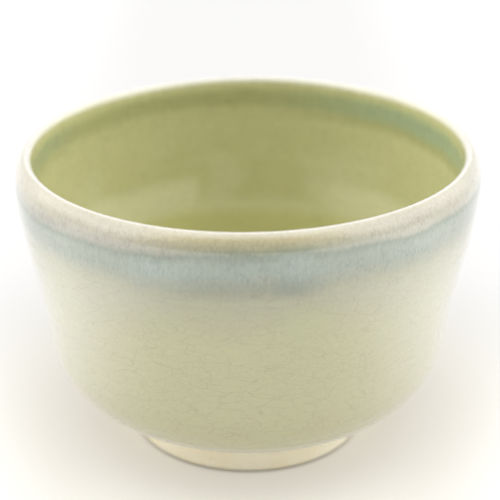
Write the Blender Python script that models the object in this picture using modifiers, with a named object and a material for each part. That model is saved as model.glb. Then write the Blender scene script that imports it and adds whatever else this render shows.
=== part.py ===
"""Matcha bowl: a thrown clay body with a turned foot, and the glaze coats fired onto it.

Units are metres and +Z is up. The origin is on the bowl's axis, at the level of the
surface that the foot stands on. Every solid is turned: an outline in the XZ plane,
swept round Z. The outlines are cubic curves and arcs, and the clay and the coats are
all set off from the same two lines, the finished outside and the finished inside.
"""

import math

import bpy
from mathutils import Vector
from mathutils.geometry import interpolate_bezier

# Finished outside, over the glaze.
HEIGHT = 0.0802
LIP_RADIUS = 0.0568          # the crest of the lip
SHOULDER_RADIUS = 0.0601     # the widest place, where the lip starts to roll inwards
SHOULDER_HEIGHT = 0.0731
WAIST_RADIUS = 0.0530        # where the wall starts to turn under
WAIST_HEIGHT = 0.0305
WAIST_LEAN = 0.084           # outward lean of the wall at the waist, as a slope
HIP_RADIUS = 0.0322          # where the glazed hip meets the foot
HIP_HEIGHT = 0.0090
HIP_RISE = 0.266             # slope of the hip as it leaves the foot

# How far each end of the outside's curves runs straight before it bends.
LIP_CROWN = 0.0017
LIP_TURN = 0.0045
SHOULDER_EASE = 0.0136
WAIST_EASE = 0.0126
HIP_EASE = 0.0124

# Finished inside, over the glaze.
WALL = 0.0048
NECK_DROP = 0.0046           # from the crest down to where the inside wall starts
INNER_WAIST_RISE = 0.0010    # the inside turns in a little above the outside
INNER_WAIST_LEAN = 0.114
FLOOR_HEIGHT = 0.0129
POOL_RADIUS = 0.0170         # the shallow pool in the middle of the floor
POOL_DEPTH = 0.0008
POOL_RISE = 0.033            # slope of the floor at the pool's edge

# The same for the inside's curves.
INNER_CROWN = 0.0012
NECK_TURN = 0.0026
NECK_EASE = 0.0130
INNER_WAIST_EASE = 0.0118
WELL_EASE = 0.0180
POOL_EASE = 0.0055

# Bare clay foot.
FOOT_RADIUS = 0.0308
FOOT_TOP_RADIUS = 0.0317
FOOT_RING = 0.0058           # width of the ring that touches the table
FOOT_EDGE = 0.0008           # rounding of the ring's two lower edges
RECESS_DEPTH = 0.0048
RECESS_FILLET = 0.0016
RECESS_TAPER = 0.0006        # the recess is this much narrower at its ceiling
RECESS_DOME = 0.0004

# Glaze coats.
GLAZE = 0.0007
GAP = 0.0003                 # clearance kept between neighbouring solids
RIM_COAT_OUTSIDE = 0.0596    # height of the rim coat's lower edge on the outside
RIM_COAT_INSIDE = 0.0646     # and on the inside

# Fineness of the facets.
STEPS = 56
LIP_POINTS = 5
WALL_POINTS = 6
HIP_POINTS = 8
NECK_POINTS = 4
WELL_POINTS = 7
POOL_POINTS = 3
ARC_POINTS = 4
AXIS_MERGE = 0.00001

CLAY_COLOUR = (0.66, 0.60, 0.42)
OUTER_COLOUR = (0.55, 0.53, 0.34)
INNER_COLOUR = (0.42, 0.43, 0.20)
RIM_COLOUR = (0.40, 0.47, 0.44)


def point(radius, height):
    return Vector((radius, 0.0, height))


OUTWARD = point(1.0, 0.0)
UPWARD = point(0.0, 1.0)


def curve(start, leaving, arriving, end, count):
    """Points on a cubic curve, both ends included; its handles are given as offsets."""
    return interpolate_bezier(start, start + leaving, end + arriving, end, count)


def arc(centre, radius, first_degrees, last_degrees):
    """Points on a circular arc; 0 degrees is outwards and 90 degrees is up."""
    points = []
    for i in range(ARC_POINTS):
        degrees = first_degrees + (last_degrees - first_degrees) * i / (ARC_POINTS - 1)
        turn = math.radians(degrees)
        points.append(centre + point(math.cos(turn), math.sin(turn)) * radius)
    return points


def outer_line():
    """Finished outside, from the crest of the lip down to the foot."""
    crest = point(LIP_RADIUS, HEIGHT)
    shoulder = point(SHOULDER_RADIUS, SHOULDER_HEIGHT)
    waist = point(WAIST_RADIUS, WAIST_HEIGHT)
    hip = point(HIP_RADIUS, HIP_HEIGHT)
    along_wall = point(WAIST_LEAN, 1.0) * WAIST_EASE
    along_hip = point(1.0, HIP_RISE) * HIP_EASE
    lip = curve(crest, OUTWARD * LIP_CROWN, UPWARD * LIP_TURN, shoulder, LIP_POINTS)
    wall = curve(shoulder, -UPWARD * SHOULDER_EASE, along_wall, waist, WALL_POINTS)
    under = curve(waist, -along_wall, along_hip, hip, HIP_POINTS)
    return lip[:-1] + wall[:-1] + under


def inner_line():
    """Finished inside, from the crest of the lip down to the middle of the floor."""
    crest = point(LIP_RADIUS, HEIGHT)
    neck = point(SHOULDER_RADIUS - WALL, HEIGHT - NECK_DROP)
    waist = point(WAIST_RADIUS - WALL, WAIST_HEIGHT + INNER_WAIST_RISE)
    pool = point(POOL_RADIUS, FLOOR_HEIGHT)
    middle = point(0.0, FLOOR_HEIGHT - POOL_DEPTH)
    along_wall = point(INNER_WAIST_LEAN, 1.0) * INNER_WAIST_EASE
    along_floor = point(1.0, POOL_RISE)
    lip = curve(crest, -OUTWARD * INNER_CROWN, UPWARD * NECK_TURN, neck, NECK_POINTS)
    wall = curve(neck, -UPWARD * NECK_EASE, along_wall, waist, WALL_POINTS)
    well = curve(waist, -along_wall, along_floor * WELL_EASE, pool, WELL_POINTS)
    floor = curve(pool, -along_floor * POOL_EASE, OUTWARD * POOL_EASE, middle, POOL_POINTS)
    return lip[:-1] + wall[:-1] + well[:-1] + floor


def set_in(line, depth):
    """The line moved into the clay by this depth.

    The clay is on the right of the outside line and on the left of the inside one,
    as each runs down from the crest, so the inside takes a negative depth.
    """
    moved = []
    for i, here in enumerate(line):
        before = line[max(i - 1, 0)]
        after = line[min(i + 1, len(line) - 1)]
        run = (after - before).normalized()
        moved.append(here + point(run.z, -run.x) * depth)
    moved[0] = line[0] - UPWARD * abs(depth)
    if line[-1].x < AXIS_MERGE:
        moved[-1].x = 0.0
    return moved


def nearest_height(line, height):
    """Index of the point of the line that is nearest to this height."""
    return min(range(len(line)), key=lambda i: abs(line[i].z - height))


def shortened(line):
    """The line with its first point moved along it, to clear the neighbouring coat."""
    first = line[0] + (line[1] - line[0]).normalized() * GAP
    return [first] + line[1:]


def foot_outline():
    """Bare foot, from the hip down its outside, across the ring and up the recess."""
    ring_inner = FOOT_RADIUS - FOOT_RING
    outer_edge = point(FOOT_RADIUS - FOOT_EDGE, FOOT_EDGE)
    inner_edge = point(ring_inner + FOOT_EDGE, FOOT_EDGE)
    corner_radius = ring_inner - RECESS_TAPER - RECESS_FILLET
    corner = point(corner_radius, RECESS_DEPTH - RECESS_FILLET)
    top = [point(FOOT_TOP_RADIUS, HIP_HEIGHT - GAP)]
    ring = arc(outer_edge, FOOT_EDGE, 0.0, -90.0) + arc(inner_edge, FOOT_EDGE, -90.0, -180.0)
    ceiling = arc(corner, RECESS_FILLET, 0.0, 90.0) + [point(0.0, RECESS_DEPTH + RECESS_DOME)]
    return top + ring + ceiling


def turned(name, profile, closed):
    """A mesh object that holds the profile and sweeps it round Z."""
    ends = [(i, i + 1) for i in range(len(profile) - 1)]
    if closed:
        ends.append((len(profile) - 1, 0))
    mesh = bpy.data.meshes.new(name)
    mesh.from_pydata(profile, ends, [])
    obj = bpy.data.objects.new(name, mesh)
    screw = obj.modifiers.new("Turn", "SCREW")
    screw.axis = "Z"
    screw.angle = math.tau
    screw.steps = STEPS
    screw.render_steps = STEPS
    screw.use_merge_vertices = True
    screw.merge_threshold = AXIS_MERGE
    screw.use_smooth_shade = True
    return obj


def clay_body():
    """Wall, floor and foot as one clay solid, set in from the finish under every coat."""
    inset = GLAZE + GAP
    inside = set_in(inner_line(), -inset)
    outside = set_in(outer_line(), inset)
    profile = list(reversed(inside)) + outside[1:] + foot_outline()
    return turned("clay_body", profile, closed=False)


def outer_glaze():
    """The coat on the outside, from the rim coat down to the foot."""
    line = outer_line()
    top = nearest_height(line, RIM_COAT_OUTSIDE)
    face = shortened(line[top:])
    back = shortened(set_in(line, GLAZE)[top:])
    return turned("outer_glaze", face + list(reversed(back)), closed=True)


def inner_glaze():
    """The coat that lines the bowl, from the rim coat to the middle of the floor."""
    line = inner_line()
    top = nearest_height(line, RIM_COAT_INSIDE)
    face = shortened(line[top:])
    back = shortened(set_in(line, -GLAZE)[top:])
    return turned("inner_glaze", list(reversed(face)) + back, closed=False)


def rim_glaze():
    """The second coat, dipped over the lip and down both sides."""
    inside = inner_line()
    outside = outer_line()
    inner_end = nearest_height(inside, RIM_COAT_INSIDE) + 1
    outer_end = nearest_height(outside, RIM_COAT_OUTSIDE) + 1
    face = list(reversed(inside[:inner_end])) + outside[1:outer_end]
    inner_back = set_in(inside, -GLAZE)[1:inner_end]
    outer_back = set_in(outside, GLAZE)[:outer_end]
    return turned("rim_glaze", face + list(reversed(outer_back)) + inner_back, closed=True)


def material(name, colour, roughness, coat):
    made = bpy.data.materials.new(name)
    made.use_nodes = True
    made.diffuse_color = (*colour, 1.0)
    shader = made.node_tree.nodes["Principled BSDF"]
    shader.inputs["Base Color"].default_value = (*colour, 1.0)
    shader.inputs["Roughness"].default_value = roughness
    shader.inputs["Metallic"].default_value = 0.0
    shader.inputs["Coat Weight"].default_value = coat
    return made


def clear_scene():
    for obj in list(bpy.data.objects):
        bpy.data.objects.remove(obj)


def build():
    clear_scene()
    collection = bpy.data.collections.new("matcha_bowl")
    bpy.context.scene.collection.children.link(collection)
    root = bpy.data.objects.new("matcha_bowl", None)
    collection.objects.link(root)
    pieces = (
        (clay_body(), material("bare_clay", CLAY_COLOUR, 0.75, 0.0)),
        (outer_glaze(), material("outer_glaze", OUTER_COLOUR, 0.18, 0.4)),
        (inner_glaze(), material("inner_glaze", INNER_COLOUR, 0.18, 0.4)),
        (rim_glaze(), material("rim_glaze", RIM_COLOUR, 0.15, 0.4)),
    )
    for obj, look in pieces:
        obj.data.materials.append(look)
        obj.parent = root
        collection.objects.link(obj)


build()
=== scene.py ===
import math
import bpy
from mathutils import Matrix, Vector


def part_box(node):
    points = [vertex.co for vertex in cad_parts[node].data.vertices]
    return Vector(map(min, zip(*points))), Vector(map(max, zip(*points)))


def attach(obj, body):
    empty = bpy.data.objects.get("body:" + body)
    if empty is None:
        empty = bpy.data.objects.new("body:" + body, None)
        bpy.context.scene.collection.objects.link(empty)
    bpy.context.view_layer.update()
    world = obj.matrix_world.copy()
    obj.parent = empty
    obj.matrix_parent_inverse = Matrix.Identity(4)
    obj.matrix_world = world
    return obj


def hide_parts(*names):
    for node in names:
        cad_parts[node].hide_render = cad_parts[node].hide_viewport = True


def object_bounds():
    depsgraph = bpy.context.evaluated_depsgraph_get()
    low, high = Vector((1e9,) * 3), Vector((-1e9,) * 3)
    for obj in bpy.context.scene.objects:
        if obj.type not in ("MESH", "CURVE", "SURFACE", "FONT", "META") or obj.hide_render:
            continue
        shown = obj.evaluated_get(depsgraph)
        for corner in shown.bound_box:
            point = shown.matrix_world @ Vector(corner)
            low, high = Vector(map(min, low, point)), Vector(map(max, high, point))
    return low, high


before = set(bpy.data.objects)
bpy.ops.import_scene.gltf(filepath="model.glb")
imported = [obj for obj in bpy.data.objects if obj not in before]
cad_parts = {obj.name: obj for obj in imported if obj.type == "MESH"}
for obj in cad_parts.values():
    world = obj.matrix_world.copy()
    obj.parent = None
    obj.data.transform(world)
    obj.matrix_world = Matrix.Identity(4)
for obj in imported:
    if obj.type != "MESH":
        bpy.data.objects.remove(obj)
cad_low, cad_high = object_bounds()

from types import SimpleNamespace

import bpy
import numpy as np

# The looks of a glazed matcha bowl. Lengths are in metres, and in millimetres inside the
# materials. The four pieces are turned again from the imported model's own outlines, much
# finer and a little uneven, as a bowl thrown by hand is.

MM = 0.001
COLUMNS = 400                # facets round the bowl
FACE_STEP = 0.55 * MM        # spacing of the rows on a surface that shows
BACK_STEP = 2.2 * MM         # and on one that is hidden
RIM_FACE_STEP = 0.385 * MM   # the rim coat's rows are closer
RIM_BACK_STEP = 1.1 * MM
COAT_DEPTH = 0.9 * MM        # how deep the coats reach towards the clay
CLAY_MARGIN = 0.2 * MM       # the clay under the coats stops this far above the foot line
SLIVER = 0.02 * MM           # how far the clay reaches into the coats' backs
SECTION_WIDTH = 0.01 * MM    # a point this near the XZ plane is on the section
TANGENT_STEP = 0.05 * MM     # over which a curve's direction is measured
SHARP_ANGLE = math.radians(50)

HEIGHT = cad_high.z

# Hand-made unevenness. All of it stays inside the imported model. A wave is given by how
# many times it goes round the bowl, its phase, and its share of the height.
UNEVEN_FROM = 12 * MM        # the bowl gets more uneven from this height upwards
LIP_TILT = 1.0 * MM          # the lip is this much lower at -X than at +X
LIP_WAVE = 0.14 * MM
LIP_WAVES = ((3, 1.1, 1.0), (5, 2.9, 0.4))
OVAL = 0.0016
OVAL_PHASE = 0.9
RING_PITCH = 5.2 * MM        # the throwing spiral
RING_HEIGHT = 0.045 * MM
RING_FADE = 0.4              # part of its height that comes and goes
RING_FADE_RATE = 210.0       # how fast, in radians per metre of wall
CALM_LIP = (3 * MM, 16 * MM)   # its start and full height, by distance from the crest
CALM_MIDDLE = 8 * MM         # it is full this far from the floor's middle
TRIM_PITCH = 1.9 * MM        # the turning spiral under the foot
TRIM_HEIGHT = 0.07 * MM
TRIM_MARGIN = 3 * MM         # it stops this far from the foot ring
FOOT_LINE_WAVE = 0.08 * MM   # how far the glaze's lower edge wanders
FOOT_LINE_WAVES = ((4, 0.4, 1.0), (7, 2.2, 0.6), (13, 0.0, 0.4))
FOOT_LINE_SPAN = 6 * MM      # over this length above the edge
BEAD = 0.06 * MM             # rounding of that edge
BEAD_ROWS = 8
FOOT_STEPS = (1.2 * MM, 0.4 * MM)  # spacing of the foot's rows before and after rounding


# ---------------------------------------------------------------- outlines

def section_points(node):
    """The node's corners in the XZ plane at +X, as rows of radius and height."""
    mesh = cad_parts[node].data
    points = np.empty(len(mesh.vertices) * 3)
    mesh.vertices.foreach_get("co", points)
    points = points.reshape(-1, 3)
    flat = (np.abs(points[:, 1]) < SECTION_WIDTH) & (points[:, 0] > -SECTION_WIDTH)
    return np.unique(np.round(points[flat][:, [0, 2]], 7), axis=0)


def finished_points(node, clay):
    """The node's section points on the glaze's face, which are the ones far from the clay."""
    points = section_points(node)
    gap = np.linalg.norm(points[:, None] - clay[None], axis=2).min(axis=1)
    return points[gap > (gap.min() + gap.max()) / 2]


def by_angle(points, centre, reverse=False):
    """The points in order of their direction from a centre."""
    angle = np.arctan2(points[:, 1] - centre[1], points[:, 0] - centre[0])
    order = np.argsort(angle)
    return points[order[::-1] if reverse else order]


def finished_line():
    """Corners of the finished section, from the floor's middle over the lip to the foot."""
    clay = section_points("clay_body")
    rim = finished_points("rim_glaze", clay)
    crest = rim[rim[:, 1].argmax()]
    inside = np.vstack([finished_points("inner_glaze", clay), rim[rim[:, 0] < crest[0]]])
    outside = np.vstack([finished_points("outer_glaze", clay), rim[rim[:, 0] > crest[0]]])
    inside = by_angle(inside, (-SECTION_WIDTH, HEIGHT))
    outside = by_angle(outside, (0.0, HEIGHT / 2), reverse=True)
    return np.vstack([inside, crest[None], outside]), len(inside)


def foot_line():
    """Corners of the bare foot, from the hip round the ring to the recess's middle."""
    clay = section_points("clay_body")
    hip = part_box("outer_glaze")[0].z
    foot = clay[clay[:, 1] < hip]
    ring_middle = (foot[:, 0][foot[:, 1] < SECTION_WIDTH].mean(), hip)
    return by_angle(foot, ring_middle, reverse=True)


class Spline:
    """A smooth curve through corners, measured by the length along them."""

    def __init__(self, corners):
        self.corners = corners
        steps = np.linalg.norm(np.diff(corners, axis=0), axis=1)
        self.knots = np.concatenate([[0.0], np.cumsum(steps)])
        self.length = self.knots[-1]
        count = len(corners)
        matrix = np.eye(count)
        right = np.zeros((count, 2))
        for i in range(1, count - 1):
            matrix[i, i - 1] = steps[i - 1] / 6
            matrix[i, i] = (steps[i - 1] + steps[i]) / 3
            matrix[i, i + 1] = steps[i] / 6
            before = (corners[i] - corners[i - 1]) / steps[i - 1]
            after = (corners[i + 1] - corners[i]) / steps[i]
            right[i] = after - before
        # The finish is level where it starts, on the axis, and free at its other end.
        matrix[0, 0] = steps[0] / 3
        matrix[0, 1] = steps[0] / 6
        right[0] = (corners[1] - corners[0]) / steps[0] - np.array([1.0, 0.0])
        self.bends = np.linalg.solve(matrix, right)

    def __call__(self, where):
        """The points of the curve at these lengths along it."""
        where = np.clip(where, 0.0, self.length)
        i = np.clip(np.searchsorted(self.knots, where) - 1, 0, len(self.knots) - 2)
        step = (self.knots[i + 1] - self.knots[i])[:, None]
        b = ((where - self.knots[i])[:, None]) / step
        a = 1.0 - b
        bent = (a**3 - a) * self.bends[i] + (b**3 - b) * self.bends[i + 1]
        return a * self.corners[i] + b * self.corners[i + 1] + bent * step**2 / 6

    def into_clay(self, where):
        """Unit direction from the finished face into the clay."""
        run = self(where + TANGENT_STEP) - self(where - TANGENT_STEP)
        run /= np.linalg.norm(run, axis=1)[:, None]
        return np.stack([run[:, 1], -run[:, 0]], axis=1)


def rounded(corners, rounds=3):
    """Corners cut again and again, which rounds them and keeps the flats flat."""
    for _ in range(rounds):
        before = corners[:-1] * 0.75 + corners[1:] * 0.25
        after = corners[:-1] * 0.25 + corners[1:] * 0.75
        between = np.stack([before, after], axis=1).reshape(-1, 2)
        corners = np.vstack([corners[:1], between, corners[-1:]])
    return corners


def evenly(corners, step):
    """Points along straight runs, no further apart than the step."""
    lengths = np.linalg.norm(np.diff(corners, axis=0), axis=1)
    along = np.concatenate([[0.0], np.cumsum(lengths)])
    count = int(math.ceil(along[-1] / step)) + 1
    where = np.linspace(0.0, along[-1], count)
    return np.stack([np.interp(where, along, corners[:, k]) for k in (0, 1)], axis=1)


corners, inside_count = finished_line()
finish = Spline(corners)
crest_at = finish.knots[inside_count]
clay_corners = section_points("clay_body")
inner_seam = finish.knots[len(finished_points("inner_glaze", clay_corners)) - 1]
outer_seam = finish.knots[-len(finished_points("outer_glaze", clay_corners))]
foot = foot_line()


# ---------------------------------------------------------------- turned meshes

turn = np.linspace(0.0, math.tau, COLUMNS, endpoint=False)


def smooth_step(low, high, value):
    t = np.clip((value - low) / (high - low), 0.0, 1.0)
    return t * t * (3.0 - 2.0 * t)


def hand_shaped(radius, height):
    """Places the rows round the axis, tilted and waved as the potter left them."""
    grown = smooth_step(UNEVEN_FROM, HEIGHT, height)
    tilt = LIP_TILT * (1.0 - np.cos(turn)) / 2
    wave = sum(
        LIP_WAVE * share * (1.0 + np.sin(times * turn + phase)) / 2
        for times, phase, share in LIP_WAVES
    )
    oval = OVAL * (1.0 + np.cos(2 * turn + OVAL_PHASE)) / 2
    height = height - grown * (tilt + wave)
    radius = radius * (1.0 - grown * oval)
    return np.stack([radius * np.cos(turn), radius * np.sin(turn), height], axis=2)


def throwing_marks(where):
    """How far the throwing spiral stands out of the finish, never more than 0."""
    along = where[:, None] / RING_PITCH + turn[None] / math.tau
    depth = 0.5 + 0.5 * np.sin(along * math.tau)
    calm_lip = smooth_step(*CALM_LIP, np.abs(where - crest_at))[:, None]
    calm_middle = smooth_step(0.0, CALM_MIDDLE, where)[:, None]
    fading = np.sin(where[:, None] * RING_FADE_RATE + 2 * turn[None])
    uneven = 1.0 - RING_FADE + RING_FADE * fading
    return -RING_HEIGHT * depth * calm_lip * calm_middle * uneven


def rows_of(where, depth):
    """Radius and height grids for places along the finish, sunk by a depth."""
    base = finish(where)[:, None, :]
    inward = finish.into_clay(where)[:, None, :]
    sunk = depth[:, None] - throwing_marks(where)
    grid = base + inward * sunk[:, :, None]
    return grid[:, :, 0], grid[:, :, 1]


def turned(name, radius, height, reach, poles, node, look):
    """A closed piece from grids of rows; poles says whether its ends lie on the axis.

    Reach is how far each row is from the lip's crest along the finish, and is less than 0
    inside the bowl."""
    points = hand_shaped(radius, height)
    if poles:
        first = points[0].mean(axis=0)
        last = points[-1].mean(axis=0)
        body = points[1:-1]
        reach = np.concatenate([[reach[0]], np.repeat(reach[1:-1], COLUMNS), [reach[-1]]])
    else:
        body = points
        reach = np.repeat(reach, COLUMNS)
    count = len(body)
    index = np.arange(count * COLUMNS).reshape(count, COLUMNS) + (1 if poles else 0)
    beside = np.roll(index, -1, axis=1)
    if poles:
        upper, lower = index[:-1], index[1:]
        upper_beside, lower_beside = beside[:-1], beside[1:]
    else:
        upper, lower = index, np.roll(index, -1, axis=0)
        upper_beside, lower_beside = beside, np.roll(beside, -1, axis=0)
    quads = np.stack([upper, lower, lower_beside, upper_beside], axis=2).reshape(-1, 4)
    faces = quads.tolist()
    vertices = body.reshape(-1, 3)
    if poles:
        top = 0
        bottom = count * COLUMNS + 1
        faces += [(top, int(a), int(b)) for a, b in zip(index[0], beside[0])]
        faces += [(bottom, int(b), int(a)) for a, b in zip(index[-1], beside[-1])]
        vertices = np.vstack([first[None], vertices, last[None]])
    mesh = bpy.data.meshes.new(name)
    mesh.from_pydata(vertices.tolist(), [], faces)
    mesh.validate()
    attribute = mesh.attributes.new("reach", "FLOAT", "POINT")
    attribute.data.foreach_set("value", reach.astype(np.float32))
    mesh.shade_smooth()
    mesh.set_sharp_from_angle(angle=SHARP_ANGLE)
    mesh.materials.append(look)
    piece = bpy.data.objects.new(name, mesh)
    bpy.context.scene.collection.objects.link(piece)
    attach(piece, "root")
    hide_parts(node)


def spaced(start, end, step):
    """Even places from start to end, both included."""
    count = max(2, int(math.ceil(abs(end - start) / step)) + 1)
    return np.linspace(start, end, count)


def inner_coat(look):
    face = spaced(0.0, inner_seam, FACE_STEP)
    back = spaced(inner_seam, 0.0, BACK_STEP)
    where = np.concatenate([face, back])
    depth = np.concatenate([np.zeros(len(face)), np.full(len(back), COAT_DEPTH)])
    radius, height = rows_of(where, depth)
    radius[0] = radius[-1] = 0.0
    turned("inner_glaze_coat", radius, height, where - crest_at, True,
           "inner_glaze", look)


def rim_coat(look):
    face = spaced(inner_seam, outer_seam, RIM_FACE_STEP)
    back = spaced(outer_seam, inner_seam, RIM_BACK_STEP)
    where = np.concatenate([face, back])
    depth = np.concatenate([np.zeros(len(face)), np.full(len(back), COAT_DEPTH)])
    radius, height = rows_of(where, depth)
    turned("rim_glaze_coat", radius, height, where - crest_at, False,
           "rim_glaze", look)


def outer_coat(look):
    """The outside coat; its lower edge is a soft bead that wanders round the foot."""
    end = finish.length
    face = spaced(outer_seam, end - BEAD, FACE_STEP)
    bead_turn = np.linspace(0.0, math.pi / 2, BEAD_ROWS)[1:]
    bead = end - BEAD + BEAD * np.sin(bead_turn)
    bead_depth = COAT_DEPTH * (1.0 - np.cos(bead_turn))
    back = spaced(end - BEAD, outer_seam, BACK_STEP)
    where = np.concatenate([face, bead, back])
    depth = np.concatenate([np.zeros(len(face)), bead_depth, np.full(len(back), COAT_DEPTH)])
    radius, height = rows_of(where, depth)
    near_edge = smooth_step(end - FOOT_LINE_SPAN, end, where)[:, None]
    wander = sum(share * np.sin(times * turn + phase) for times, phase, share in FOOT_LINE_WAVES)
    shares = sum(share for _, _, share in FOOT_LINE_WAVES)
    radius = radius + near_edge * FOOT_LINE_WAVE * (1.0 + wander / shares) / 2
    turned("outer_glaze_coat", radius, height, where - crest_at, False,
           "outer_glaze", look)


def clay_piece(look):
    """The clay under the coats, with its bare turned foot."""
    hidden = spaced(0.0, finish.length - CLAY_MARGIN, BACK_STEP)
    under_coats = finish(hidden) + finish.into_clay(hidden) * (COAT_DEPTH - SLIVER)
    before_rounding, after_rounding = FOOT_STEPS
    bare = evenly(rounded(evenly(foot, before_rounding)), after_rounding)
    outline = np.vstack([under_coats, bare])
    radius = np.repeat(outline[:, :1], COLUMNS, axis=1)
    height = np.repeat(outline[:, 1:], COLUMNS, axis=1)
    spiral = outline[:, :1] / TRIM_PITCH + turn[None] / math.tau
    ring_inner = foot[foot[:, 1] < SECTION_WIDTH][:, 0].min()
    in_recess = np.zeros(len(outline))
    in_recess[len(under_coats):] = bare[:, 0] < ring_inner - TRIM_MARGIN
    relief = TRIM_HEIGHT * (0.5 + 0.5 * np.sin(spiral * math.tau))
    height = height + in_recess[:, None] * relief
    radius[0] = radius[-1] = 0.0
    turned("clay_with_foot", radius, height, np.zeros(len(outline)), True,
           "clay_body", look)


# ---------------------------------------------------------------- material nodes

def node(tree, kind, inputs=None, **settings):
    """A shader node; an input is a value, or a socket to link it to."""
    made = tree.nodes.new(kind)
    for key, value in settings.items():
        setattr(made, key, value)
    for key, value in (inputs or {}).items():
        if isinstance(value, bpy.types.NodeSocket):
            tree.links.new(value, made.inputs[key])
        else:
            made.inputs[key].default_value = value
    return made


def maths(tree, operation, first, second=0.0, third=0.0):
    made = node(tree, "ShaderNodeMath", {0: first, 1: second, 2: third}, operation=operation)
    return made.outputs[0]


def product(tree, first, *others):
    for other in others:
        first = maths(tree, "MULTIPLY", first, other)
    return first


def away_from(tree, value, middle=0.0):
    return maths(tree, "ABSOLUTE", maths(tree, "SUBTRACT", value, middle))


def fade(tree, value, start, end, at_start=0.0, at_end=1.0):
    """Goes smoothly from one number to another as the value goes from start to end."""
    made = node(
        tree, "ShaderNodeMapRange",
        {"Value": value, "From Min": start, "From Max": end,
         "To Min": at_start, "To Max": at_end},
        interpolation_type="SMOOTHSTEP",
    )
    return made.outputs["Result"]


def noise(tree, where, size, detail=2.0, roughness=0.5):
    """Noise from 0 to 1 whose blotches are about this many millimetres across."""
    made = node(
        tree, "ShaderNodeTexNoise",
        {"Vector": where, "Scale": 1.0 / size, "Detail": detail, "Roughness": roughness},
    )
    return made.outputs[0]


def mix(tree, factor, first, second, blend="MIX"):
    """Two colours mixed; each is a socket, or red, green and blue."""
    first, second = (
        colour if isinstance(colour, bpy.types.NodeSocket) else (*colour, 1.0)
        for colour in (first, second)
    )
    made = node(
        tree, "ShaderNodeMix", {0: factor, 6: first, 7: second},
        data_type="RGBA", blend_type=blend,
    )
    return made.outputs[2]


def toned(tree, colour, tone):
    """The colour made lighter or darker by a factor."""
    grey = node(tree, "ShaderNodeCombineColor", {0: tone, 1: tone, 2: tone}).outputs[0]
    return mix(tree, 1.0, colour, grey, "MULTIPLY")


def vector(tree, operation, first, second):
    made = node(tree, "ShaderNodeVectorMath", {0: first, 1: second}, operation=operation)
    return made.outputs[0]


def in_millimetres(tree, squash=(1.0, 1.0, 1.0)):
    """Object coordinates in millimetres, squashed along each axis."""
    where = node(tree, "ShaderNodeTexCoord").outputs["Object"]
    return vector(tree, "MULTIPLY", where, tuple(s / MM for s in squash))


def cells(tree, where, size, **settings):
    """A Voronoi texture's node, with cells this many millimetres across."""
    return node(
        tree, "ShaderNodeTexVoronoi", {"Vector": where, "Scale": 1.0 / size}, **settings
    )


CRACK_BEND = 0.55            # how far cracks wander, as a part of their cells' size
CRACK_BENDS = 1.2            # how often they do, per cell


def cracks(tree, squash, cell, width):
    """1 on the cracks of a crackle whose cells are about this big, else 0."""
    where = in_millimetres(tree, squash)
    wobble = node(
        tree, "ShaderNodeTexNoise",
        {"Vector": where, "Scale": CRACK_BENDS / cell, "Detail": 2.0},
    ).outputs["Color"]
    bend = vector(tree, "MULTIPLY", wobble, (cell * CRACK_BEND,) * 3)
    bent = vector(tree, "ADD", where, bend)
    edge = cells(tree, bent, cell, feature="DISTANCE_TO_EDGE").outputs["Distance"]
    return fade(tree, edge, 0.0, width / cell, 1.0, 0.0)


def raised(tree, height):
    """A normal bent by a height in millimetres."""
    made = node(tree, "ShaderNodeBump", {"Height": height, "Strength": 1.0, "Distance": MM})
    return made.outputs[0]


def principled(name, index):
    """A new material, its node tree and its shader, with this index of refraction."""
    look = bpy.data.materials.new(name)
    look.use_nodes = True
    shader = look.node_tree.nodes["Principled BSDF"]
    shader.inputs["IOR"].default_value = index
    return look, look.node_tree, shader


def plug(tree, shader, **sockets):
    """Links sockets to the shader's inputs; Base_Color stands for Base Color."""
    for key, socket in sockets.items():
        tree.links.new(socket, shader.inputs[key.replace("_", " ")])


# ---------------------------------------------------------------- the glaze's look

INSIDE = (0.500, 0.491, 0.250)
INSIDE_PALE = (0.570, 0.556, 0.333)
# painted reflection: the pale veil low inside the bowl, and its tint at the very bottom
INSIDE_PAINTED_VEIL = (0.632, 0.618, 0.388)
PAINTED_VEIL_DEEP_TINT = (0.578, 0.566, 0.266)
INSIDE_EDGE = (0.398, 0.400, 0.190)
INSIDE_BAND = (0.347, 0.413, 0.248)
INSIDE_NEAR_LIP = (0.544, 0.537, 0.271)
INSIDE_THIN = (0.600, 0.580, 0.410)
# the crest: partly thin glaze over the clay, partly a painted highlight that makes its line
# whiter
CREST_WITH_PAINTED_HIGHLIGHT = (0.800, 0.775, 0.720)
LIP_PALE = (0.465, 0.431, 0.305)
LIP = (0.458, 0.401, 0.238)
LIP_LOW = (0.386, 0.374, 0.249)
LIP_ASIDE = (0.375, 0.357, 0.285)
BAND_TOP = (0.192, 0.229, 0.162)
BAND = (0.292, 0.352, 0.308)
BAND_PALE = (0.255, 0.280, 0.215)
BAND_LOW = (0.198, 0.233, 0.182)
OUTSIDE_HIGH = (0.326, 0.321, 0.208)
OUTSIDE = (0.413, 0.393, 0.215)
OUTSIDE_GREEN = (0.390, 0.397, 0.208)
# painted reflection: the body's sides made paler and greyer, as a veil of the bright tent
BODY_PAINTED_VEIL = (0.448, 0.438, 0.330)

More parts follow.
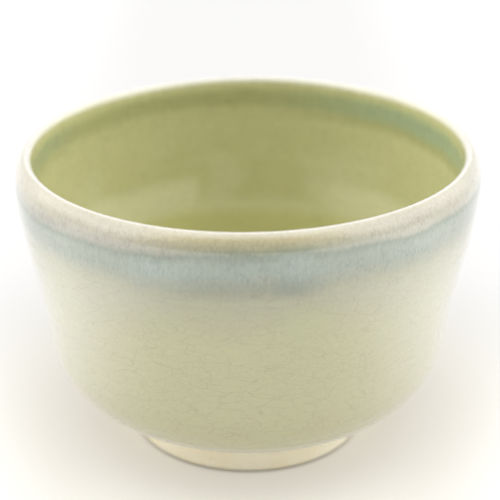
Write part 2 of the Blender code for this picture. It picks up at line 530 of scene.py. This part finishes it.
# The glaze's colours from the lip's crest along the surface, in millimetres; inside the
# bowl is negative. The second coat is strong where it pooled, and weak where it ran thin.
STRONG_COLOURS = (
    (-12.5, INSIDE), (-10.3, INSIDE_EDGE), (-8.0, INSIDE_BAND), (-5.2, INSIDE_BAND),
    (-2.6, INSIDE_NEAR_LIP), (-1.0, INSIDE_THIN), (-0.2, CREST_WITH_PAINTED_HIGHLIGHT), (0.2, CREST_WITH_PAINTED_HIGHLIGHT),
    (0.9, LIP_PALE), (2.4, LIP), (4.3, LIP_LOW), (6.1, BAND_TOP), (8.4, BAND),
    (10.5, BAND), (14.8, BAND_LOW), (18.2, OUTSIDE_HIGH), (32.0, OUTSIDE),
)
WEAK_COLOURS = (
    (-10.0, INSIDE), (-7.8, INSIDE_EDGE), (-5.5, INSIDE_EDGE), (-2.6, INSIDE_NEAR_LIP),
    (-1.0, INSIDE_THIN), (-0.2, CREST_WITH_PAINTED_HIGHLIGHT), (0.2, CREST_WITH_PAINTED_HIGHLIGHT), (0.9, LIP_PALE), (2.4, LIP),
    (4.4, LIP_LOW), (6.1, BAND_TOP), (7.8, BAND_PALE), (10.5, BAND_PALE),
    (15.0, OUTSIDE_HIGH), (32.0, OUTSIDE),
)
RAMP_REACH = 40.0            # the ramps run this far each side of the crest

# Below, each tuple is a fade: where it starts and ends, and, if they are not 0 and 1, its
# values there. BY_SIDE fades run along X and BY_REACH ones along the surface from the
# crest, both in millimetres. BY_NOISE ones start and end at values of the noise.
STREAKY = (1.0, 1.0, 0.12)   # squashes patterns into streaks that run down the wall
WANDER = 3.2                 # how far the bands' edges wander, in all
WANDER_SIZE = 22.0
RUNS = 1.6                   # and how far they run down in streaks
RUNS_SIZE = 1.6
CALM_CREST_BY_REACH = (2.0, 6.0)
DIP_BY_SIDE = ((-6.0, -40.0, 0.0, 2.5), (18.0, 46.0, 0.0, 1.3))
DIP_BY_REACH = (1.0, 4.5)
INSIDE_BY_REACH = (-1.0, 1.0, 1.0, 0.0)

PATCH_SIZE = 30.0            # the outside band comes in patches, strongest in front
PATCH_BY_NOISE = (0.36, 0.54, 0.35, 1.0)
BAND_BY_SIDE = ((-16.0, -32.0, 1.0, 0.1), (3.0, 22.0, 1.0, 0.25))
INSIDE_BAND_BY_SIDE = ((-2.0, 46.0), (-46.0, -54.0, 0.0, 0.6))

CLOUD_SIZE = 17.0            # clouds of another tint, on the body and inside
CLOUD_BY_NOISE = (0.45, 0.7, 0.0, 0.6)
CLOUD_BY_REACH = (12.0, 30.0)
LIP_MIDDLE = 3.4             # the lip is greyer at the sides; the body is paler and greyer there, a painted veil of reflected light
LIP_BY_REACH = (1.3, 3.0, 0.75, 0.0)
LIP_BY_SIDE = (12.0, 36.0)
BODY_VEIL_BY_REACH = (12.0, 20.0, 0.0, 0.5)
BODY_VEIL_BY_SIDE = (12.0, 46.0)

VEIL_BY_SIDE = ((-13.0, -17.0), (12.0, 30.0))  # a painted reflection: a pale veil low inside the bowl
VEIL_BY_REACH = (-27.0, -33.0)
VEIL_FLOOR_BY_REACH = (-34.0, -39.0, 0.0, 0.7)
VEIL_DEEP_BY_REACH = (-38.0, -42.0)
VEIL_STRENGTH = 0.9

LONG_CRACKS = ((0.45, 0.45, 1.3), 2.8, 0.11)   # squash, cell and width
FINE_CRACKS = ((1.0, 1.0, 1.0), 1.7, 0.10)
FINE_SIZE = 12.0
FINE_BY_NOISE = (0.40, 0.6, 0.2, 0.8)
HAIRS = ((1.0, 1.0, 0.3), 0.75, 0.14)          # upright hatching, on the lip and its band
HAIR_SIZE = 2.5
HAIR_BY_NOISE = (0.35, 0.65, 0.4, 1.6)
HAIR_MIDDLE = 8.0
HAIR_BY_REACH = (4.0, 9.0, 1.0, 0.0)

MOTTLE_SIZE = 0.7            # fine changes of tone
MOTTLE_BY_NOISE = (0.2, 0.8, 0.97, 1.03)
STREAK_SIZE = 0.8
STREAK_BY_NOISE = (0.2, 0.8, -0.045, 0.045)
STREAK_BY_REACH = (14.0, 22.0, 1.0, 0.15)
CRACK_DARKNESS = 0.125
CREASE_SHADE_MIDDLE = 4.7          # painted shade of a crease under the lip, at the left
CREASE_SHADE_BY_REACH = (0.6, 2.4, 0.20, 0.0)
CREASE_SHADE_BY_SIDE = (-4.0, -19.0)
HEM_MIDDLE = 14.6            # and a darker hem under the band, in front
HEM_BY_REACH = (1.0, 4.0, 0.11, 0.0)
HEM_BY_SIDE = (8.0, 20.0, 1.0, 0.0)

PEEL_SIZE = 3.5              # relief, in millimetres: a slight orange peel,
PEEL_HEIGHT = 0.012
PIT_SPACING = 7.0            # pinholes,
PIT_BY_DISTANCE = (0.02, 0.06, -1.0, 0.0)
PIT_DEPTH = 0.02
CRACK_DEPTH = 0.010          # and the crackle
ROUGH_SIZE = 9.0
ROUGH_BY_NOISE = (0.3, 0.7, 0.10, 0.17)
SHEEN_MIDDLE = 6.0           # the wet coat is duller under the lip, and thin inside
SHEEN_BY_REACH = (1.5, 6.0, 0.25, 0.05)
WET_BY_REACH = (-4.0, -0.5, 0.2, 1.0)
WET_LEVEL = 0.5              # Blender's specular level for the index itself
GLAZE_INDEX = 1.7


def colour_ramp(tree, reach, colours):
    """A ramp through colours that are given by millimetres past the crest."""
    place = maths(tree, "MULTIPLY_ADD", reach, 0.5 / RAMP_REACH, 0.5)
    made = node(tree, "ShaderNodeValToRGB", {0: place})
    elements = made.color_ramp.elements
    while len(elements) < len(colours):
        elements.new(0.5)
    for element, (position, colour) in zip(elements, colours):
        element.position = 0.5 + 0.5 * position / RAMP_REACH
        element.color = (*colour, 1.0)
    return made.outputs[0]


def glaze_places(tree):
    """Where a point of the glaze is, as sockets that give millimetres."""
    where = in_millimetres(tree)
    streaky = in_millimetres(tree, STREAKY)
    metres = node(tree, "ShaderNodeAttribute", attribute_name="reach").outputs["Fac"]
    reach = maths(tree, "DIVIDE", metres, MM)
    side = node(tree, "ShaderNodeSeparateXYZ", {0: where}).outputs[0]
    wander = maths(tree, "MULTIPLY_ADD", noise(tree, where, WANDER_SIZE), WANDER, -WANDER / 2)
    runs = maths(tree, "MULTIPLY_ADD", noise(tree, streaky, RUNS_SIZE, 3.0), RUNS, -RUNS / 2)
    calm = fade(tree, away_from(tree, reach), *CALM_CREST_BY_REACH)
    shift = product(tree, maths(tree, "ADD", wander, runs), calm)
    # The second coat was dipped deeper at both sides than in front.
    dip = maths(tree, "ADD", *(fade(tree, side, *span) for span in DIP_BY_SIDE))
    dip = product(tree, dip, fade(tree, reach, *DIP_BY_REACH))
    return SimpleNamespace(
        where=where,
        streaky=streaky,
        reach=reach,
        side=side,
        aside=away_from(tree, side),
        uneven=maths(tree, "SUBTRACT", maths(tree, "ADD", reach, shift), dip),
        inside=fade(tree, reach, *INSIDE_BY_REACH),
    )


def banded_colour(tree, at):
    """The coats' bands of colour, strong in patches outside and at the right inside."""
    ends = (fade(tree, at.side, *span) for span in INSIDE_BAND_BY_SIDE)
    inside = product(tree, at.inside, maths(tree, "MAXIMUM", *ends))
    patches = fade(tree, noise(tree, at.where, PATCH_SIZE, 1.0), *PATCH_BY_NOISE)
    patches = product(tree, patches, *(fade(tree, at.side, *span) for span in BAND_BY_SIDE))
    outside = product(tree, maths(tree, "SUBTRACT", 1.0, at.inside), patches)
    return mix(
        tree, maths(tree, "ADD", inside, outside),
        colour_ramp(tree, at.uneven, WEAK_COLOURS), colour_ramp(tree, at.uneven, STRONG_COLOURS),
    )


def clouded_colour(tree, at, colour):
    """Adds clouds of another tint, the greyer sides of the lip, and the body's paler, greyer
    sides, a painted veil of reflected light.
    """
    cloud = product(
        tree, fade(tree, noise(tree, at.where, CLOUD_SIZE, 3.0), *CLOUD_BY_NOISE),
        fade(tree, away_from(tree, at.reach), *CLOUD_BY_REACH),
    )
    colour = mix(tree, cloud, colour, mix(tree, at.inside, OUTSIDE_GREEN, INSIDE_PALE))
    lip = product(
        tree, fade(tree, at.aside, *LIP_BY_SIDE),
        fade(tree, away_from(tree, at.uneven, LIP_MIDDLE), *LIP_BY_REACH),
    )
    colour = mix(tree, lip, colour, LIP_ASIDE)
    # painted reflection: the body's paler, greyer sides
    body = product(
        tree, fade(tree, at.aside, *BODY_VEIL_BY_SIDE), fade(tree, at.reach, *BODY_VEIL_BY_REACH)
    )
    return mix(tree, body, colour, BODY_PAINTED_VEIL)


def painted_veil_colour(tree, at, colour):
    """Adds a painted reflection: a pale veil low inside the bowl."""
    sides = maths(tree, "MAXIMUM", *(fade(tree, at.side, *span) for span in VEIL_BY_SIDE))
    walls = product(tree, sides, fade(tree, at.uneven, *VEIL_BY_REACH))
    veil = maths(tree, "MAXIMUM", walls, fade(tree, at.uneven, *VEIL_FLOOR_BY_REACH))
    deep = fade(tree, at.uneven, *VEIL_DEEP_BY_REACH)
    veiled = mix(tree, deep, INSIDE_PAINTED_VEIL, PAINTED_VEIL_DEEP_TINT)
    return mix(tree, product(tree, veil, VEIL_STRENGTH), colour, veiled)


def crackle_at(tree, at):
    """Crackle on the body, and upright hatching on the lip and its band."""
    patches = fade(tree, noise(tree, at.where, FINE_SIZE, 1.0), *FINE_BY_NOISE)
    fine = product(tree, cracks(tree, *FINE_CRACKS), patches)
    net = maths(tree, "MAXIMUM", cracks(tree, *LONG_CRACKS), fine)
    patches = fade(tree, noise(tree, at.where, HAIR_SIZE), *HAIR_BY_NOISE)
    hairs = product(tree, cracks(tree, *HAIRS), patches)
    on_lip = fade(tree, away_from(tree, at.reach, HAIR_MIDDLE), *HAIR_BY_REACH)
    net = product(tree, net, maths(tree, "SUBTRACT", 1.0, on_lip))
    return maths(tree, "MULTIPLY_ADD", hairs, on_lip, net)


def tone_at(tree, at, crackle):
    """Fine changes of tone: mottling, streaks, the crackle, the painted shade of the crease, and
    the hem.
    """
    mottle = fade(tree, noise(tree, at.where, MOTTLE_SIZE, 3.0, 0.7), *MOTTLE_BY_NOISE)
    streak = fade(tree, noise(tree, at.streaky, STREAK_SIZE), *STREAK_BY_NOISE)
    near_band = fade(tree, away_from(tree, at.reach), *STREAK_BY_REACH)
    streak = maths(tree, "MULTIPLY_ADD", streak, near_band, 1.0)
    # painted shade: darker in the crease under the lip, at the left
    crease_shade = product(
        tree, fade(tree, at.side, *CREASE_SHADE_BY_SIDE),
        fade(tree, away_from(tree, at.uneven, CREASE_SHADE_MIDDLE), *CREASE_SHADE_BY_REACH),
    )
    hem = product(
        tree, fade(tree, at.aside, *HEM_BY_SIDE),
        fade(tree, away_from(tree, at.reach, HEM_MIDDLE), *HEM_BY_REACH),
    )
    dark = maths(tree, "MULTIPLY_ADD", crackle, -CRACK_DARKNESS, 1.0)
    dark = maths(tree, "SUBTRACT", dark, maths(tree, "ADD", crease_shade, hem))
    return product(tree, mottle, streak, dark)


def relief_at(tree, at, crackle):
    """The glaze's fine relief: orange peel, pinholes and cracks."""
    pits = fade(
        tree, cells(tree, at.where, PIT_SPACING).outputs["Distance"], *PIT_BY_DISTANCE
    )
    peel = noise(tree, at.where, PEEL_SIZE)
    relief = maths(tree, "MULTIPLY_ADD", peel, PEEL_HEIGHT, product(tree, pits, PIT_DEPTH))
    return maths(tree, "MULTIPLY_ADD", crackle, -CRACK_DEPTH, relief)


def glaze(name):
    """The bowl's glaze, by how far a place is from the lip's crest along the surface."""
    look, tree, shader = principled(name, GLAZE_INDEX)
    at = glaze_places(tree)
    colour = banded_colour(tree, at)
    colour = clouded_colour(tree, at, colour)
    # a painted reflection: the pale veil low inside the bowl
    colour = painted_veil_colour(tree, at, colour)
    crackle = crackle_at(tree, at)
    wet = fade(tree, at.reach, *WET_BY_REACH)
    plug(
        tree, shader,
        Base_Color=toned(tree, colour, tone_at(tree, at, crackle)),
        Roughness=fade(tree, noise(tree, at.where, ROUGH_SIZE, 3.0), *ROUGH_BY_NOISE),
        Normal=raised(tree, relief_at(tree, at, crackle)),
        Coat_Weight=wet,
        Coat_Roughness=fade(tree, away_from(tree, at.reach, SHEEN_MIDDLE), *SHEEN_BY_REACH),
        Specular_IOR_Level=product(tree, wet, WET_LEVEL),
    )
    return look


# ---------------------------------------------------------------- the clay's look

CLAY = (0.900, 0.815, 0.590)
CLAY_PALE = (0.920, 0.860, 0.690)
CLAY_SPECK = (0.420, 0.300, 0.170)
CLAY_CLOUD_SIZE = 9.0
CLAY_CLOUD_BY_NOISE = (0.25, 0.75)
GRAIN_SIZE = 0.35
GRAIN_BY_NOISE = (0.25, 0.75, 0.93, 1.05)
SPECK_SPACING = 2.4
SPECK_BY_DISTANCE = (0.05, 0.09, 0.5, 0.0)
SPECKLESS = 0.72             # this part of the cells has no speck
TURNED = (0.02, 0.02, 1.0)   # squashes patterns into rings round the bowl
LINE_SIZE = 0.5
LINE_HEIGHT = 0.03
TOOTH_SIZE = 0.3
TOOTH_HEIGHT = 0.03
CLAY_ROUGHNESS = 0.72
CLAY_INDEX = 1.45


def bare_clay(name):
    """Fired clay with fine grain, turning lines and a few specks."""
    look, tree, shader = principled(name, CLAY_INDEX)
    where = in_millimetres(tree)
    cloud = fade(tree, noise(tree, where, CLAY_CLOUD_SIZE, 3.0), *CLAY_CLOUD_BY_NOISE)
    grain = fade(tree, noise(tree, where, GRAIN_SIZE, 3.0, 0.7), *GRAIN_BY_NOISE)
    ground = toned(tree, mix(tree, cloud, CLAY, CLAY_PALE), grain)
    dots = cells(tree, where, SPECK_SPACING)
    draw = node(tree, "ShaderNodeSeparateColor", {0: dots.outputs["Color"]}).outputs[0]
    speck = product(
        tree, fade(tree, dots.outputs["Distance"], *SPECK_BY_DISTANCE),
        maths(tree, "GREATER_THAN", draw, SPECKLESS),
    )
    lines = noise(tree, in_millimetres(tree, TURNED), LINE_SIZE, 3.0)
    tooth = product(tree, noise(tree, where, TOOTH_SIZE, 3.0, 0.7), TOOTH_HEIGHT)
    plug(
        tree, shader,
        Base_Color=mix(tree, speck, ground, CLAY_SPECK),
        Normal=raised(tree, maths(tree, "MULTIPLY_ADD", lines, LINE_HEIGHT, tooth)),
    )
    shader.inputs["Roughness"].default_value = CLAY_ROUGHNESS
    return look


# ---------------------------------------------------------------- stage, light, camera

FLOOR_RADIUS = 4.0
FLOOR_CORNERS = 64
FLOOR_COLOUR = (0.505, 0.500, 0.496)
# painted shade on the floor near the bowl, warm from the bowl
FLOOR_PAINTED_WARM_SHADE = (0.500, 0.472, 0.412)
FLOOR_ROUGHNESS = 0.9
FLOOR_LEVEL = 0.2            # the specular level
# The sweep's glow is painted light, as of lamps shining on the paper: brighter at the sides and
# far out, and dimmer round the bowl as a painted shadow.
FLOOR_GLOW = 0.37            # the sweep glows a little,
FLOOR_SHADE = 0.08           # less round the bowl,
SIDE_GLOW = 0.40             # more at each side,
FAR_GLOW = 0.42              # more again far out to the sides,
BACK_GLOW = 0.35             # only this part of it behind the bowl, and not under the foot
# Where each starts and ends: millimetres from the axis, sideways or towards the back.
FOOT_SPAN = (29.5, 32.0)
SHADE_SPAN = (30.0, 75.0)
SIDE_SPAN = (42.0, 118.0)
FAR_SPAN = (140.0, 240.0)
BACK_SPAN = (-40.0, 80.0)
WARM_SHADE_SPAN = (40.0, 115.0)


def studio_floor():
    mesh = bpy.data.meshes.new("studio_floor")
    ring = np.linspace(0.0, math.tau, FLOOR_CORNERS, endpoint=False)
    rim = [(FLOOR_RADIUS * math.cos(a), FLOOR_RADIUS * math.sin(a), 0.0) for a in ring]
    mesh.from_pydata(rim, [], [tuple(range(len(rim)))])
    look = bpy.data.materials.new("studio_paper")
    look.use_nodes = True
    tree = look.node_tree
    shader = tree.nodes["Principled BSDF"]
    where = in_millimetres(tree)
    away = node(tree, "ShaderNodeVectorMath", {0: where}, operation="LENGTH").outputs["Value"]
    sideways, back, _ = node(tree, "ShaderNodeSeparateXYZ", {0: where}).outputs
    sideways = away_from(tree, sideways)
    # painted light on the floor, with a painted shadow round the bowl
    glow = fade(tree, sideways, *SIDE_SPAN, FLOOR_GLOW, FLOOR_GLOW + SIDE_GLOW)
    glow = maths(tree, "SUBTRACT", glow, fade(tree, away, *SHADE_SPAN, FLOOR_SHADE, 0.0))
    glow = maths(tree, "ADD", glow, fade(tree, sideways, *FAR_SPAN, 0.0, FAR_GLOW))
    glow = product(
        tree, glow, fade(tree, back, *BACK_SPAN, 1.0, BACK_GLOW), fade(tree, away, *FOOT_SPAN)
    )
    plug(
        tree, shader,
        # the floor near the bowl: painted warm shade from the bowl
        Base_Color=mix(tree, fade(tree, away, *WARM_SHADE_SPAN), FLOOR_PAINTED_WARM_SHADE, FLOOR_COLOUR),
        Emission_Strength=glow,
    )
    shader.inputs["Roughness"].default_value = FLOOR_ROUGHNESS
    shader.inputs["Specular IOR Level"].default_value = FLOOR_LEVEL
    shader.inputs["Emission Color"].default_value = (1.0, 1.0, 1.0, 1.0)
    mesh.materials.append(look)
    floor = bpy.data.objects.new("studio_floor", mesh)
    bpy.context.scene.collection.objects.link(floor)


# The tent's soft panels: the direction each faces from (sideways, back, up), the dot
# products with it where the panel starts and is full, and its brightness.
PANELS = (
    ((1.0, 0.0, 0.0), 0.30, 0.90, 0.41),       # both sides
    ((1.0, 0.0, 0.0), 0.65, 0.98, 0.37),
    ((0.0, 1.0, 0.0), 0.10, 0.90, 0.38),       # behind the bowl
    ((0.7, 0.7, 0.0), 0.65, 0.95, 0.75),       # behind it and to the sides
    ((0.0, 0.0, 1.0), 0.20, 0.95, 0.52),       # overhead
    ((0.0, 0.0, 1.0), 0.75, 0.98, 0.78),
    ((0.7, 0.0, 0.7), 0.60, 0.95, 1.20),       # between the sides and overhead
    ((0.8, -0.2, 0.55), 0.80, 0.98, 0.45),     # and a little towards the camera
    ((0.75, -0.62, 0.2), 0.80, 0.97, 0.50),    # low, on both sides of the camera
)


def light_tent():
    """A white tent all round: soft panels of light that run into each other."""
    world = bpy.data.worlds.new("light_tent")
    world.use_nodes = True
    tree = world.node_tree
    bpy.context.scene.world = world
    where = node(tree, "ShaderNodeTexCoord").outputs["Generated"]
    across, back, up = node(tree, "ShaderNodeSeparateXYZ", {0: where}).outputs
    mirrored = node(
        tree, "ShaderNodeCombineXYZ", {0: away_from(tree, across), 1: back, 2: up}
    ).outputs[0]
    strength = 0.0
    for facing, start, full, light in PANELS:
        near = node(
            tree, "ShaderNodeVectorMath", {0: mirrored, 1: facing}, operation="DOT_PRODUCT"
        ).outputs["Value"]
        strength = maths(tree, "MULTIPLY_ADD", fade(tree, near, start, full), light, strength)
    background = tree.nodes["Background"]
    tree.links.new(strength, background.inputs["Strength"])
    background.inputs["Color"].default_value = (1.0, 1.0, 1.0, 1.0)


CAMERA_DISTANCE = 0.4122
CAMERA_PITCH = math.radians(24.1)
CAMERA_TARGET = 0.0498       # height of the place on the axis that it looks at
LENS = 111.6                 # in millimetres, on a sensor this wide
SENSOR = 36.0
SIDE_SHIFT = 0.004
CLIP = (0.01, 20.0)
FOCUS_REACH = 0.043          # it focuses this far in front of the axis, towards itself
F_STOP = 13.0


def camera():
    data = bpy.data.cameras.new("camera")
    made = bpy.data.objects.new("camera", data)
    bpy.context.scene.collection.objects.link(made)
    back = CAMERA_DISTANCE * math.cos(CAMERA_PITCH)
    up = CAMERA_DISTANCE * math.sin(CAMERA_PITCH)
    made.location = (0.0, -back, CAMERA_TARGET + up)
    made.rotation_euler = (math.pi / 2 - CAMERA_PITCH, 0.0, 0.0)
    data.lens = LENS
    data.sensor_width = SENSOR
    data.shift_x = SIDE_SHIFT
    data.clip_start, data.clip_end = CLIP
    bpy.context.scene.camera = made
    # The hub turns to face the camera from any side, and carries the place in focus.
    hub = bpy.data.objects.new("focus_hub", None)
    hub.location = (0.0, 0.0, CAMERA_TARGET)
    follow = hub.constraints.new("TRACK_TO")
    follow.target = made
    follow.track_axis = "TRACK_Y"
    follow.up_axis = "UP_Z"
    spot = bpy.data.objects.new("focus_spot", None)
    spot.parent = hub
    spot.location = (0.0, FOCUS_REACH, 0.0)
    for helper in (hub, spot):
        bpy.context.scene.collection.objects.link(helper)
    data.dof.use_dof = True
    data.dof.focus_object = spot
    data.dof.aperture_fstop = F_STOP


inner_coat(glaze("inner_glaze"))
rim_coat(glaze("rim_glaze"))
outer_coat(glaze("outer_glaze"))
clay_piece(bare_clay("bare_clay"))
studio_floor()
light_tent()
camera()
bpy.context.scene.view_settings.view_transform = "Standard"
bpy.context.scene.view_settings.look = "None"
